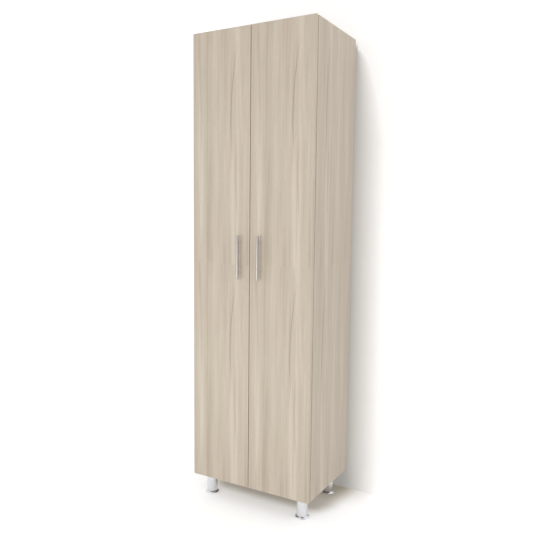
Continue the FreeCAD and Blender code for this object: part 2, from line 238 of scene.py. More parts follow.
def spare_holes(place):
    """One inside a painted spare hole, a dark dot for the raw board and the shade in it: the places are
    every 32 mm above and below each shelf, on two lines.
    """
    parts = parts_of(place)
    asides = [sum_of("ABSOLUTE", less(parts[1], line)) for line in pin_lines]
    aside = sum_of("MINIMUM", asides[0], asides[1])
    share = 0.0
    for level in shelf_levels:
        step = sum_of("DIVIDE", less(parts[2], level - pin_drop), spare_hole_pitch)
        off = less(step, sum_of("ROUND", step))
        above = times(off, spare_hole_pitch)
        squares = sum_of("MULTIPLY_ADD", above, above, times(aside, aside))
        away = sum_of("SQRT", squares)
        round_hole = ramp_of(away, spare_hole_radius, spare_hole_radius * hole_edge_share)
        near = sum_of("LESS_THAN", sum_of("ABSOLUTE", step), spare_holes_each_way)
        share = sum_of("MAXIMUM", times(round_hole, near), share)
    middle_x = sum_of("ABSOLUTE", parts[0])
    inside = sum_of("LESS_THAN", middle_x, (side_low.x + side_high.x) / 2)
    return times(share, inside)


def laminate(name, across_axis, along_axis, shift, painted_holes=False, end_axis=None):
    """Ash laminate: soft broad streaks, finer ones, a few swaying veins, and pores along the grain.

    The distance across the grain is the dot product of the place with across_axis, less the shift;
    that along it is the dot product with along_axis. Broad and middle streaks and the tint meet end to
    end at each repeat of the print. Fine streaks, pores and veins are cut there, which leaves a faint
    line across the board. On the ends of a board that has an end_axis, the edging's grain runs along
    that axis, and across the rest of across_axis.
    """
    material, tree, shader = new_material(name)
    place = place_of(tree)
    dots = [dot_of(place, axis) for axis in (across_axis, along_axis)]
    if end_axis:
        facing = dot_of(tree.nodes.new("ShaderNodeTexCoord").outputs["Normal"], along_axis)
        at_end = sum_of("GREATER_THAN", sum_of("ABSOLUTE", facing), end_facing)
        rest = tuple(whole - part for whole, part in zip(across_axis, end_axis))
        for count, axis in enumerate((rest, end_axis)):
            change = less(dot_of(place, axis), dots[count])
            dots[count] = sum_of("MULTIPLY_ADD", at_end, change, dots[count])
    straight = less(dots[0], shift)
    along = sum_of("WRAP", dots[1], decor_start + decor_repeat, decor_start)
    turn = times(dots[1], 2 * np.pi / decor_repeat)
    sway = meeting_streaks(straight, turn, *sway_streaks)
    across = sum_of("MULTIPLY_ADD", sway, sway_reach, straight)
    broad = meeting_streaks(across, turn, *broad_streaks)
    middle = meeting_streaks(across, turn, *middle_streaks)
    tint = meeting_streaks(across, turn, *tint_streaks)
    fine = streaks(across, along, *fine_streaks)
    pores = streaks(across, along, *pore_streaks)
    shade = times(broad, broad_share)
    shade = sum_of("MULTIPLY_ADD", middle, middle_share, shade)
    shade = sum_of("MULTIPLY_ADD", fine, fine_share, shade)
    greenish = ramp_of(tint, tint_rosy, tint_greenish)
    tinted = mix_of(greenish, linear(laminate_rose), linear(laminate_green))
    colour = mix_of(tint_share, linear(laminate_mean), tinted)
    colour = mix_of(ramp_of(shade, shade_middle, shade_darkest), colour, linear(laminate_dark))
    colour = mix_of(ramp_of(shade, shade_middle, shade_lightest), colour, linear(laminate_light))
    for tone, bands in ((laminate_light, light_bands), (laminate_vein, dark_veins)):
        for band in bands:
            colour = mix_of(one_vein(straight, along, *band), colour, linear(tone))
    in_pore = ramp_of(pores, pore_start, pore_full, 0.0, pore_share)
    colour = mix_of(in_pore, colour, linear(laminate_vein))
    # Painted shade: dark dots for the spare shelf-pin holes, the raw board and the shade inside them.
    if painted_holes:
        colour = mix_of(spare_holes(place), colour, linear(hole_board_and_shade))
    dress(shader, colour, ramp_of(fine, noise_low, noise_high, laminate_smooth, laminate_rough))
    relief(shader, fine, *grain_relief)
    shader.inputs["Specular IOR Level"].default_value = laminate_sheen
    return material


def finish_node(name, material):
    """Gives a carried-over node its material."""
    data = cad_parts[name].data
    data.materials.clear()
    data.materials.append(material)


side_shift = side_high.x + side_low.y - vein_from_front
for hand, outwards in (("left", -1), ("right", 1)):
    side_name = "laminate on the " + hand + " side"
    side_face = laminate(side_name, (outwards, 1, 0), (0, 0, 1), side_shift, painted_holes=True, end_axis=(0, 1, 0))
    finish_node("side_panel_" + hand, side_face)
level_boards = laminate("laminate on the level boards", (0, 1, 1), (1, 0, 0), side_low.y)
for board in ("top_panel", "bottom_panel", "fixed_shelf", "shelf_1", "shelf_2", "shelf_3", "shelf_4"):
    finish_node(board, level_boards)


# Back panel: 3 mm hardboard slid into the grooves, laminated towards the inside and bare brown
# board behind. Eight small screws hold it to the rear edges of the bottom and the fixed shelf.
mm = 0.001
hardboard_brown = (150, 118, 84)
hardboard_dark = (122, 93, 64)
back_screw_radius = 3.5 * mm
back_screw_rise = 1.3 * mm
back_screw_inset = 70 * mm
back_low, back_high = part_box("back_panel")
hardboard_rough = 0.6
hardboard_relief = (0.2, 0.0003)
clump_scale = 60.0
clump_detail = 6.0
fibre_scale = 900.0
fibre_detail = 3.0
fibre_start = 0.4
fibre_full = 0.7
fibre_share = 0.5
facing_streaks = (0.02, 0.6, 3.0, 1.0)
facing_dark = 0.35
facing_light = 0.65
zinc_tone = (196, 197, 200)
zinc_rough = 0.32
plating_detail = 3.0
plating_shade = 0.88
plating_smooth_share = 0.8
plating_rough_share = 1.25
plating_relief = (0.05, 0.0001)
head_shares = np.array([0, 0.10, 0.2, 0.3, 0.4, 0.48, 0.54, 0.60, 0.74, 0.88, 0.96, 1.0, 1.0, 0])
dome_share = 0.35
cross_depth_share = 0.8
cross_half_share = 0.18
cross_flank_share = 0.05
cross_reach_share = 0.57
cross_end_share = 0.06
head_under_share = 0.1
turn_between_heads = 0.9
doubled_within = 1e-6


def cloud_of(place, scale, detail):
    """Plain noise with this many clouds to the metre."""
    noise = {"Vector": place, "Scale": scale, "Detail": detail}
    return add_node("ShaderNodeTexNoise", noise).outputs[0]


def hardboard(name):
    """Bare pressed fibre behind and pale laminate in front, told apart by the place in Y."""
    material, tree, shader = new_material(name)
    place = place_of(tree)
    clumps = cloud_of(place, clump_scale, clump_detail)
    fibres = cloud_of(place, fibre_scale, fibre_detail)
    raw = mix_of(clumps, linear(hardboard_brown), linear(hardboard_dark))
    in_fibre = ramp_of(fibres, fibre_start, fibre_full, 0.0, fibre_share)
    raw = mix_of(in_fibre, raw, linear(hardboard_dark))
    parts = parts_of(place)
    behind = sum_of("GREATER_THAN", parts[1], (back_low.y + back_high.y) / 2)
    grain = ramp_of(streaks(parts[0], parts[2], *facing_streaks), facing_dark, facing_light)
    faced = mix_of(grain, linear(laminate_dark), linear(laminate_light))
    dress(shader, mix_of(behind, faced, raw), hardboard_rough)
    relief(shader, fibres, *hardboard_relief)
    return material


def dimmed(share, tone, dim):
    """A tone that goes over into the same tone times dim as the share rises."""
    return mix_of(share, linear(tone), linear(np.array(tone) * dim))


def plated(name, tone, roughness, metal=1.0, grain=400.0):
    """Plated metal: clouds break its tone and roughness slightly, and fine noise dimples it."""
    material, tree, shader = new_material(name)
    cloud = cloud_of(place_of(tree), grain, plating_detail)
    smooth, rough = roughness * plating_smooth_share, roughness * plating_rough_share
    rough = ramp_of(cloud, noise_low, noise_high, smooth, rough)
    dress(shader, dimmed(cloud, tone, plating_shade), rough, metal)
    relief(shader, cloud, *plating_relief)
    return material


def screw_heads(places, axis, radius, rise):
    """Domed heads with a pressed cross. Over a polar grid of shares r of the radius and turns, the
    surface stands at rise * (1 - dome_share * r * r). The cross takes away its share of the rise where
    the smaller of |x| and |y| is under cross_half_share and r is under cross_reach_share, past sloping
    flanks. A last ring and a middle point close the head underneath.
    """
    places = np.array(places, float)
    axis = np.array(axis, float)
    aside = np.roll(axis, 1)
    across = np.cross(axis, aside)
    turn = np.linspace(0, 2 * np.pi, 41)
    share = head_shares[:, None]
    narrow = share * np.minimum(abs(np.cos(turn)), abs(np.sin(turn)))
    cross = np.clip((cross_half_share - narrow) / cross_flank_share, 0, 1)
    cross = cross * np.clip((cross_reach_share - share) / cross_end_share, 0, 1)
    height = 1 - dome_share * share ** 2 - cross_depth_share * cross
    height[-2:] = -head_under_share
    turned_by = turn + turn_between_heads * np.arange(len(places))[:, None]
    ring = np.cos(turned_by)[..., None] * aside + np.sin(turned_by)[..., None] * across
    flat = head_shares[None, :, None, None] * radius * ring[:, None]
    return list(places[:, None, None] + flat + height[None, :, :, None] * rise * axis)


def add_object(name, data):
    """An object put into the scene."""
    made = bpy.data.objects.new(name, data)
    bpy.context.scene.collection.objects.link(made)
    return made


def add_piece(name, sheets, finish, body, *replaced, crease=35.0):
    """One object from sheets of points, each rows by columns by 3: neighbours are joined into quads, the
    doubled points of seams and poles merged, and all faces turned outwards. The finish is a material
    and its slot; the slot is not used.
    """
    material, slot = finish
    points = np.concatenate([sheet.reshape(-1, 3) for sheet in sheets])
    quads = []
    start = 0
    for sheet in sheets:
        rows, columns = sheet.shape[:2]
        index = np.arange(rows * columns).reshape(rows, columns) + start
        around = (index[:-1, :-1], index[1:, :-1], index[1:, 1:], index[:-1, 1:])
        quads.append(np.stack(around, axis=-1).reshape(-1, 4))
        start += rows * columns
    mesh = bpy.data.meshes.new(name)
    mesh.from_pydata(points.tolist(), [], np.concatenate(quads).tolist())
    shell = bmesh.new()
    shell.from_mesh(mesh)
    bmesh.ops.remove_doubles(shell, verts=shell.verts, dist=doubled_within)
    bmesh.ops.recalc_face_normals(shell, faces=shell.faces)
    shell.to_mesh(mesh)
    shell.free()
    mesh.shade_smooth()
    mesh.set_sharp_from_angle(angle=np.radians(crease))
    mesh.materials.append(material)
    made = add_object(name, mesh)
    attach(made, body)
    if replaced:
        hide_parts(*replaced)


finish_node("back_panel", hardboard("hardboard back"))
zinc = (plated("zinc plate", zinc_tone, zinc_rough), "zinc_steel")
back_screw_levels = [sum(edge.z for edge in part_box(board)) / 2 for board in ("bottom_panel", "fixed_shelf")]
back_screw_line = np.linspace(back_low.x + back_screw_inset, back_high.x - back_screw_inset, 4)
back_screw_places = [(x, back_high.y, z) for z in back_screw_levels for x in back_screw_line]
back_screws = screw_heads(back_screw_places, (0, 1, 0), back_screw_radius, back_screw_rise)
add_piece("back_screws", back_screws, zinc, "carcass")


# Corner fittings: die-cast cams let into the undersides of the boards, each under a flat cover with
# a pressed cross, the steel bolts that they draw on, and beech dowels, both inside the joints.
beech_tone = (214, 178, 138)
beech_dark = (188, 148, 108)
cam_tone = (168, 168, 170)
cam_radius = 6.9 * mm
cam_cover_radius = 8.6 * mm
cam_cover = 0.5 * mm
cam_height = 12.5 * mm
cam_soft = 0.8 * mm
cam_half = 7.5 * mm
cam_rough = 0.5
fleck_streaks = (0.0012, 0.01, 3.0, 4.0)
beech_rough = 0.65
side_limit_share = 0.45


def bare_wood(name, pale, dark):
    """Plain beech with short flecks along the dowel."""
    material, tree, shader = new_material(name)
    parts = parts_of(place_of(tree))
    fleck = streaks(parts[2], parts[0], *fleck_streaks)
    dress(shader, mix_of(fleck, linear(pale), linear(dark)), beech_rough)
    return material


def softened(corners, reach, closed=False, steps=5):
    """Corners replaced by short parabolas: (1-t)(1-t) a + 2t(1-t) corner + t t b, where a and b lie reach
    before and behind the corner, or side_limit_share of its side where that is less.
    """
    corners = np.array(corners, float)
    middle = corners if closed else corners[1:-1]
    before = np.roll(corners, 1, 0) if closed else corners[:-2]
    after = np.roll(corners, -1, 0) if closed else corners[2:]
    cuts = []
    for end in (before, after):
        way = end - middle
        length = np.linalg.norm(way, axis=1, keepdims=True)
        cuts.append(middle + way * np.minimum(reach / length, side_limit_share))
    t = np.linspace(0, 1, steps)[None, :, None]
    curve = (1 - t) ** 2 * cuts[0][:, None] + 2 * t * (1 - t) * middle[:, None] + t ** 2 * cuts[1][:, None]
    curve = curve.reshape(-1, corners.shape[1])
    return curve if closed else np.concatenate([corners[:1], curve, corners[-1:]])


def turned(profile, places, axis, columns=33):
    """Surfaces of revolution: a profile of (radius, height) points carried once round the axis through
    each place, so a point is place + height * axis + radius * (cos turn, sin turn) across it.
    """
    places = np.array(places, float)
    axis = np.array(axis, float)
    aside = np.roll(axis, 1)
    across = np.cross(axis, aside)
    radius, height = np.array(profile, float).T
    turn = np.linspace(0, 2 * np.pi, columns)[:, None]
    ring = np.cos(turn) * aside + np.sin(turn) * across
    shape = radius[:, None, None] * ring + height[:, None, None] * axis
    return list(places[:, None, None] + shape)


finish_node("cam_bolts", zinc[0])
finish_node("wood_dowels", bare_wood("beech", beech_tone, beech_dark))
cam_low, cam_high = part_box("cam_locks")
cam_spots = [
    (x, y)
    for x in (cam_low.x + cam_half, cam_high.x - cam_half)
    for y in (cam_low.y + cam_half, cam_high.y - cam_half)
]
cam_profile = softened([(0, 0), (cam_radius, 0), (cam_radius, cam_height), (0, cam_height)], cam_soft)
bottom_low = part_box("bottom_panel")[0].z
covered_levels = [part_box(board)[0].z for board in ("fixed_shelf", "top_panel")]
cam_places = [(x, y, z) for z in [bottom_low] + covered_levels for x, y in cam_spots]
cover_places = [(x, y, z) for z in covered_levels for x, y in cam_spots]
cams = turned(cam_profile, cam_places, (0, 0, 1))
covers = screw_heads(cover_places, (0, 0, -1), cam_cover_radius, cam_cover)
die_cast = (plated("die-cast zinc", cam_tone, cam_rough), "die_cast_zinc")
add_piece("cam_housings", cams + covers, die_cast, "carcass", "cam_locks")


# Shelf pins: turned steel pins pushed into drilled holes of the sides, with a thin collar against the
# board; each shelf lies on four of them.
pin_radius = 2.5 * mm
pin_depth = 8.0 * mm
pin_reach = 9.0 * mm
collar_radius = 3.7 * mm
collar = 0.8 * mm
pin_soft = 0.3 * mm
inner_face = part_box("bottom_panel")[1].x
pin_corners = [(0, -pin_depth), (pin_radius, -pin_depth), (pin_radius, 0), (collar_radius, 0)]
pin_corners += [(collar_radius, collar), (pin_radius, collar), (pin_radius, pin_reach), (0, pin_reach)]
pin_profile = softened(pin_corners, pin_soft)
shelf_pins = []
for outwards in (1, -1):
    pin_spots = [(outwards * inner_face, y, level - pin_drop) for level in shelf_levels for y in pin_lines]
    shelf_pins += turned(pin_profile, pin_spots, (-outwards, 0, 0), columns=25)
add_piece("shelf_pins_turned", shelf_pins, zinc, "carcass", "shelf_pins")


# Hinge plates: winged steel pressings screwed to the sides, each with a raised boss that carries the
# arm. There are three hinges on each door. Lengths are millimetres until in_hinge brings them to size.
nickel_tone = (222, 220, 215)
nickel_rough = 0.2
board = 18.0
wing_length = 50.0
wing_width = 12.0
wing_distance = 37.0
wing_corner = 5.0
wing_bevel = 0.4
plate_sheet = 2.0
boss_rise = 8.0
boss_near = 24.0
boss_far = 62.0
boss_half = 6.9
boss_corner = 2.0
boss_bevel = 0.6
wing_screw_inset = 6.5
wing_screw_radius = 4.2
wing_screw_rise = 1.6
shelf_gap = 12.0
outer_x = side_high.x
front_edge = side_low.y
plate_low, plate_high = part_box("hinge_plates")
hinge_levels = (
    plate_low.z + wing_length / 2 * mm,
    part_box("fixed_shelf")[0].z - (shelf_gap + wing_length / 2) * mm,
    plate_high.z - wing_length / 2 * mm,
)


def pressed(outline, low, high, bevel, order):
    """A plate over an outline: each row of the grid is the outline drawn in towards its middle, at its
    own level, so that both faces close at the middle and the rim has a small bevel. The order says
    which way the outline's two directions and the thickness lie in space.
    """
    outline = np.concatenate([outline, outline[:1]])
    way = outline[:-1].mean(0) - outline
    rim = bevel / np.linalg.norm(way, axis=1, keepdims=True)
    drawn_in = (1.0, 0.5, rim, 0.0, 0.0, rim, 0.5, 1.0)
    levels = (low, low, low, low + bevel, high - bevel, high, high, high)
    rows = [
        np.column_stack([outline + way * share, np.full(len(outline), level)])
        for share, level in zip(drawn_in, levels)
    ]
    return np.array(rows)[..., order]


def rectangle(first, second, half, reach):
    """The outline of a plate from first to second, as wide as twice half, with softened corners."""
    return softened([(first, -half), (second, -half), (second, half), (first, half)], reach, True)


def in_hinge(sheets):
    """The sheets of one hinge of the left door, drawn in millimetres from the outer front corner of the
    side board, set at each height.
    """
    corner = np.array([-outer_x, front_edge, 0.0])
    return [sheet * mm + corner + (0, 0, level) for level in hinge_levels for sheet in sheets]


def mirrored(sheets):
    """The same on the right."""
    return [sheet * (-1, 1, 1) for sheet in sheets]


def both_sides(sheets):
    """The sheets on the left and on the right."""
    return sheets + mirrored(sheets)


upright_order = [2, 0, 1]
level_order = [0, 1, 2]
wing_near = wing_distance - wing_width / 2
wing_far = wing_distance + wing_width / 2
wing_outline = rectangle(wing_near, wing_far, wing_length / 2, wing_corner)
wing = pressed(wing_outline, board, board + plate_sheet, wing_bevel, upright_order)
boss_outline = rectangle(boss_near, boss_far, boss_half, boss_corner)
boss = pressed(boss_outline, board, board + boss_rise, boss_bevel, upright_order)
wing_screw_level = wing_length / 2 - wing_screw_inset
wing_screw_places = [(board + plate_sheet, wing_distance, z) for z in (wing_screw_level, -wing_screw_level)]
wing_screws = screw_heads(wing_screw_places, (1, 0, 0), wing_screw_radius, wing_screw_rise)
nickel = (plated("nickel plate", nickel_tone, nickel_rough), "nickel_steel")
plates = both_sides(in_hinge([wing, boss]))
add_piece("mounting_plates", plates, nickel, "carcass", "hinge_plates", crease=25)
add_piece("mounting_plate_screws", both_sides(in_hinge(wing_screws)), zinc, "carcass")


# Hinge arms: channels pressed from sheet and slid over the bosses. Two pins are riveted across the
# nose, and two screws in the web set the door's place.
arm_sheet = 1.2
arm_web = 22.6
arm_half = 8.4
arm_far = 62.0
arm_corner = 3.0
web_corner = 1.5
sheet_bevel = 0.2
nose_radius = 3.2
flange_reach = 3.0
arm_outer_pivot = (36.0, 5.0)
arm_inner_pivot = (38.0, 12.0)
pin_half = 1.25
rivet_radius = 2.1
rivet_rise = 0.6
rivet_flat_share = 0.6
rivet_edge_share = 0.9
arm_screw_distances = (27.0, 49.0)
arm_screw_radius = 3.6
arm_screw_rise = 1.3
web_near = board + arm_web
web_far = web_near + arm_sheet
web_start = arm_inner_pivot[1] + nose_radius
nose_left = arm_outer_pivot[0] - nose_radius
nose_front = arm_outer_pivot[1] - nose_radius
cheek_outline = softened(
    [
        (nose_left, nose_front),
        (nose_left, web_start),
        (board + flange_reach, boss_near),
        (board + flange_reach, arm_far),
        (web_far, arm_far),
        (web_far, arm_inner_pivot[1] - nose_radius),
        (arm_outer_pivot[0] + nose_radius, nose_front),
    ],
    arm_corner,
    closed=True,
)
cheek_levels = (-arm_half, arm_half - arm_sheet)
cheeks = [pressed(cheek_outline, low, low + arm_sheet, sheet_bevel, level_order) for low in cheek_levels]
web_outline = rectangle(web_start, arm_far, arm_half, web_corner)
web = pressed(web_outline, web_near, web_far, sheet_bevel, upright_order)
rivet_flat = rivet_radius * rivet_flat_share
rivet_edge = arm_half + rivet_rise * rivet_edge_share
upper_rivet = [(pin_half, arm_half), (rivet_radius, arm_half), (rivet_flat, rivet_edge)]
upper_rivet.append((0, arm_half + rivet_rise))
lower_rivet = [(radius, -height) for radius, height in reversed(upper_rivet)]
pivots = [(x, y, 0) for x, y in (arm_outer_pivot, arm_inner_pivot)]
rivets = turned(lower_rivet + upper_rivet, pivots, (0, 0, 1), columns=25)
arms = both_sides(in_hinge(cheeks + [web] + rivets))
add_piece("arm_channels", arms, nickel, "carcass", "hinge_arms", crease=25)
arm_screw_places = [(web_far, y, 0) for y in arm_screw_distances]
arm_heads = screw_heads(arm_screw_places, (1, 0, 0), arm_screw_radius, arm_screw_rise)
add_piece("arm_screws", both_sides(in_hinge(arm_heads)), zinc, "carcass")


# Links: each hinge has a pair of flat outer cheeks and, between them, a gooseneck inner link. They are
# stamped from steel and turn on the arm's pins; the inner one is free where it enters the cup.
outer_path = [(12.0, -6.0), (18.3, -9.7), (23.5, -6.9), (36.0, 5.0)]
inner_path = [(10.5, -11.0), (23.4, -11.3), (25.8, -6.8), (28.8, 3.8), (38.0, 12.0)]
outer_half = 2.4
inner_half = 1.8
outer_low = 4.5
outer_high = 6.0
inner_thick = 6.4
link_bend = 2.5
outer_bevel = 0.2
inner_bevel = 0.25


def strap(path, half, low, high, bevel):
    """A flat link: a rectangle with cut corners is carried along the softened path. Its half width is
    half * sqrt(1 - (1 - d / half) ** 2) within half of either end, d being the distance from that end,
    so the ends are round.
    """
    line = softened(path, link_bend)
    first = line[0] - line[1]
    last = line[-1] - line[-2]
    line[0] += first / np.linalg.norm(first) * half
    line[-1] += last / np.linalg.norm(last) * half
    run = np.concatenate([[0], np.cumsum(np.linalg.norm(np.diff(line, axis=0), axis=1))])
    lead = half * (1 - np.cos(np.linspace(0, np.pi / 2, 7)))
    place = np.concatenate([lead, np.linspace(half, run[-1] - half, 30)[1:-1], run[-1] - lead[::-1]])
    spine = np.column_stack([np.interp(place, run, line[:, 0]), np.interp(place, run, line[:, 1])])
    way = np.gradient(spine, place, axis=0)
    way /= np.linalg.norm(way, axis=1, keepdims=True)
    side = np.column_stack([-way[:, 1], way[:, 0]])
    from_end = np.minimum(np.minimum(place, run[-1] - place) / half, 1)
    width = np.sqrt(1 - (1 - from_end) ** 2) * half
    flat_share = 1 - bevel / half
    across = np.array([-1, -flat_share, flat_share, 1, 1, flat_share, -flat_share, -1, -1])
    cut_low, cut_high = low + bevel, high - bevel
    level = np.array([cut_low, low, low, cut_low, cut_high, high, high, cut_high, cut_low])
    flat = spine[:, None] + side[:, None] * (width[:, None, None] * across[:, None])
    return np.concatenate([flat, np.broadcast_to(level[:, None], flat.shape[:2] + (1,))], axis=2)


outer_levels = ((outer_low, outer_high), (-outer_high, -outer_low))
outer_straps = [strap(outer_path, outer_half, *levels, outer_bevel) for levels in outer_levels]
inner_strap = strap(inner_path, inner_half, -inner_thick / 2, inner_thick / 2, inner_bevel)
for hand, turn_over in (("left", list), ("right", mirrored)):
    for link, sheets in (("outer", in_hinge(outer_straps)), ("inner", in_hinge([inner_strap]))):
        body = hand + "_" + link + "_links"
        piece_name = hand + "_" + link + "_link_stampings"
        add_piece(piece_name, turn_over(sheets), nickel, body, body, crease=25)


# Doors: the same 18 mm laminated board, both cut from it at the same place, so that the figure is
# alike on both. Their front arrises are slightly bevelled.
for hand in ("left", "right"):
    door_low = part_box(hand + "_door_panel")[0]
    door_shift = door_low.x + door_low.y
    door_name = "laminate on the " + hand + " door"
    door_face = laminate(door_name, (1, 1, 0), (0, 0, 1), door_shift, end_axis=(1, 0, 0))
    finish_node(hand + "_door_panel", door_face)


# Hinge cups: deep-drawn steel cups pressed into the doors, with a winged flange that two screws hold,
# and pin ends riveted through their walls for the links.
cup_middle = 23.5
cup_radius = 17.5
cup_wall = 0.8
cup_deep = 13.0
cup_rim = 18.3
flange = 1.0
flange_near = -5.0
flange_far = 17.0
flange_half = 31.0
flange_screw_level = 24.5
flange_screw_radius = 4.0
flange_screw_rise = 1.3
cup_pivots = ((12.0, -6.0), (10.5, -11.0))
pin_inside = 3.9
stub_soft = 0.3
flange_spread = 0.96
flange_fall = 0.7
# The cup's corners: inside, in from the wall and up from the floor; outside, the same; the lip, out from
# the wall's inner face, and up as a share of the flange.
inner_corner = ((2.5, 0.0), (0.8, 0.7), (0.0, 2.4))
outer_corner = ((0.0, 3.2), (0.9, 0.9), (3.2, 0.0))
lip = ((0.0, 0.5), (0.2, 0.9), (0.6, 1.0))
smallest = 1e-6
door_back = (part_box("left_door_panel")[1].y - front_edge) / mm


def drawn_cup():
    """A cup and its flange in one grid over the turn and a profile. A profile point is a radius, a depth
    and a share: the radius goes that share of the way to the flange's outline, which at each turn is
    the further of the round rim and the wings' rectangle.
    """
    turn = np.linspace(0, 2 * np.pi, 97)
    over, up = np.cos(turn), np.sin(turn)
    reach = np.where(over > 0, flange_far, -flange_near) / np.maximum(abs(over), smallest)
    wings = np.minimum(reach, flange_half / np.maximum(abs(up), smallest))
    outline = np.maximum(cup_rim, wings)
    inside = cup_radius - cup_wall
    floor = cup_deep - cup_wall
    profile = np.array(
        [(0, floor, 0)]
        + [(inside - inwards, floor - rise, 0) for inwards, rise in inner_corner]
        + [(inside + outwards, -flange * share, 0) for outwards, share in lip]
        + [(cup_radius, -flange, 0), (cup_radius, -flange, flange_spread)]
        + [(cup_radius, -flange * flange_fall, 1), (cup_radius, 0, 1), (cup_radius, 0, 0)]
        + [(cup_radius - inwards, cup_deep - rise, 0) for inwards, rise in outer_corner]
        + [(0, cup_deep, 0)]
    )
    radius = profile[:, :1] + profile[:, 2:] * (outline - profile[:, :1])
    depth = np.broadcast_to(profile[:, 1:2], radius.shape)
    return np.stack([cup_middle + radius * over, door_back - depth, radius * up], axis=-1)


cup_pins = []
for x, y in cup_pivots:
    pin_end = np.sqrt((cup_radius - cup_wall / 2) ** 2 - (cup_middle - x) ** 2)
    stub = softened([(0, pin_inside), (pin_half, pin_inside), (pin_half, pin_end), (0, pin_end)], stub_soft)
    for upwards in (1, -1):
        cup_pins += turned(stub, [(x, y, 0)], (0, 0, upwards), columns=25)
flange_middle = cup_middle + (flange_near + flange_far) / 2
flange_screws = [(flange_middle, door_back + flange, z) for z in (flange_screw_level, -flange_screw_level)]
cup_screws = screw_heads(flange_screws, (0, 1, 0), flange_screw_radius, flange_screw_rise)
for hand, turn_over in (("left", list), ("right", mirrored)):
    body = hand + "_door"
    cups = turn_over(in_hinge([drawn_cup()] + cup_pins))
    add_piece(hand + "_drawn_cups", cups, nickel, body, hand + "_hinge_cups", crease=30)
    add_piece(hand + "_cup_screws", turn_over(in_hinge(cup_screws)), zinc, body)


# Bumpers: soft clear domes stuck on inside at the doors' free edges.
bumper_tone = (205, 205, 200)
bumper_radius = 4.5 * mm
bumper_rise = 1.9 * mm
bumper_shares = ((0, 0), (1, 0), (1, 0.3), (0.93, 0.62), (0.75, 0.86), (0.45, 0.97), (0, 1))
bumper_profile = [(bumper_radius * out, bumper_rise * up) for out, up in bumper_shares]
bumper_cloud = (300.0, 2.0)
bumper_milky = 0.94
bumper_rough = 0.25
bumper_clear = 0.6


def soft_clear(name):
    """Clear soft plastic, a little cloudy."""
    material, tree, shader = new_material(name)
    cloud = cloud_of(place_of(tree), *bumper_cloud)
    dress(shader, dimmed(cloud, bumper_tone, bumper_milky), bumper_rough)
    shader.inputs["Transmission Weight"].default_value = bumper_clear
    return material


clear = (soft_clear("clear bumper"), "clear_bumper")
for hand in ("left", "right"):
    node = hand + "_door_bumpers"
    low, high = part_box(node)
    spots = [((low.x + high.x) / 2, low.y, z) for z in (low.z + bumper_radius, high.z - bumper_radius)]
    domes = turned(bumper_profile, spots, (0, 1, 0), columns=25)
    add_piece(hand + "_bumper_domes", domes, clear, hand + "_door", node)


# Handles: a round bar of satin steel on two posts, held by screws put in from inside the door.
satin_tone = (192, 185, 180)
# The posts are the bar's satin steel, painted lighter and less metal so that their shade and dark reflections
# are washed out.
post_lightened_tone = (232, 224, 214)
post_lightened_metal = 0.2
ring_streaks = (0.0003, 0.02, 3.0, 6.0)
satin_cloud = (40.0, 2.0)
satin_shade = 0.9
ring_share = 0.6
cloud_share = 0.4
satin_smooth = 0.30
satin_rough = 0.42
satin_relief = (0.15, 0.0001)
bar_soft = 0.9 * mm
post_radius = 4.0 * mm
post_foot = 0.4 * mm
post_inset = 30 * mm
handle_screw_radius = 4.0 * mm
handle_screw_rise = 1.6 * mm


def satin_steel(name, tone, metal):
    """Ground steel: fine rings round the bar, as noise drawn out across it, in its tone and roughness."""
    material, tree, shader = new_material(name)
    place = place_of(tree)
    parts = parts_of(place)
    rings = streaks(parts[2], sum_of("ADD", parts[0], parts[1]), *ring_streaks)
    cloud = times(cloud_of(place, *satin_cloud), cloud_share)
    mixed = sum_of("MULTIPLY_ADD", rings, ring_share, cloud)
    rough = ramp_of(rings, noise_low, noise_high, satin_smooth, satin_rough)
    dress(shader, dimmed(mixed, tone, satin_shade), rough, metal)
    relief(shader, rings, *satin_relief)
    return material


satin = (satin_steel("satin steel", satin_tone, 1.0), "satin_handle")
# Painted light: the posts' copy of the satin steel is lighter and less metal than the bar's.
lightened_post_satin = (satin_steel("satin steel painted lighter on the posts", post_lightened_tone, post_lightened_metal), "satin_handle")
for hand in ("left", "right"):
    body = hand + "_door"
    low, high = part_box(hand + "_handle_bar")
    bar_radius = (high.x - low.x) / 2
    middle = ((low.x + high.x) / 2, (low.y + high.y) / 2)
    length = high.z - low.z
    bar_profile = softened([(0, 0), (bar_radius, 0), (bar_radius, length), (0, length)], bar_soft)
    bar = turned(bar_profile, [(middle[0], middle[1], low.z)], (0, 0, 1), columns=49)
    add_piece(hand + "_bar", bar, satin, body, hand + "_handle_bar")
    door_front, door_rear = [corner.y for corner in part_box(hand + "_door_panel")]
    reach = door_front - middle[1]
    post_end = reach - bar_radius / 2
    post_profile = [(0, 0), (post_radius + post_foot, 0), (post_radius + post_foot, post_foot)]
    post_profile += [(post_radius, post_foot * 2), (post_radius, post_end), (0, post_end)]
    levels = (low.z + post_inset, high.z - post_inset)
    posts = turned(post_profile, [(middle[0], door_front, z) for z in levels], (0, -1, 0))
    add_piece(hand + "_posts", posts, lightened_post_satin, body, hand + "_handle_posts")
    screw_places = [(middle[0], door_rear, z) for z in levels]
    heads = screw_heads(screw_places, (0, 1, 0), handle_screw_radius, handle_screw_rise)
    add_piece(hand + "_handle_screws", heads, zinc, body)


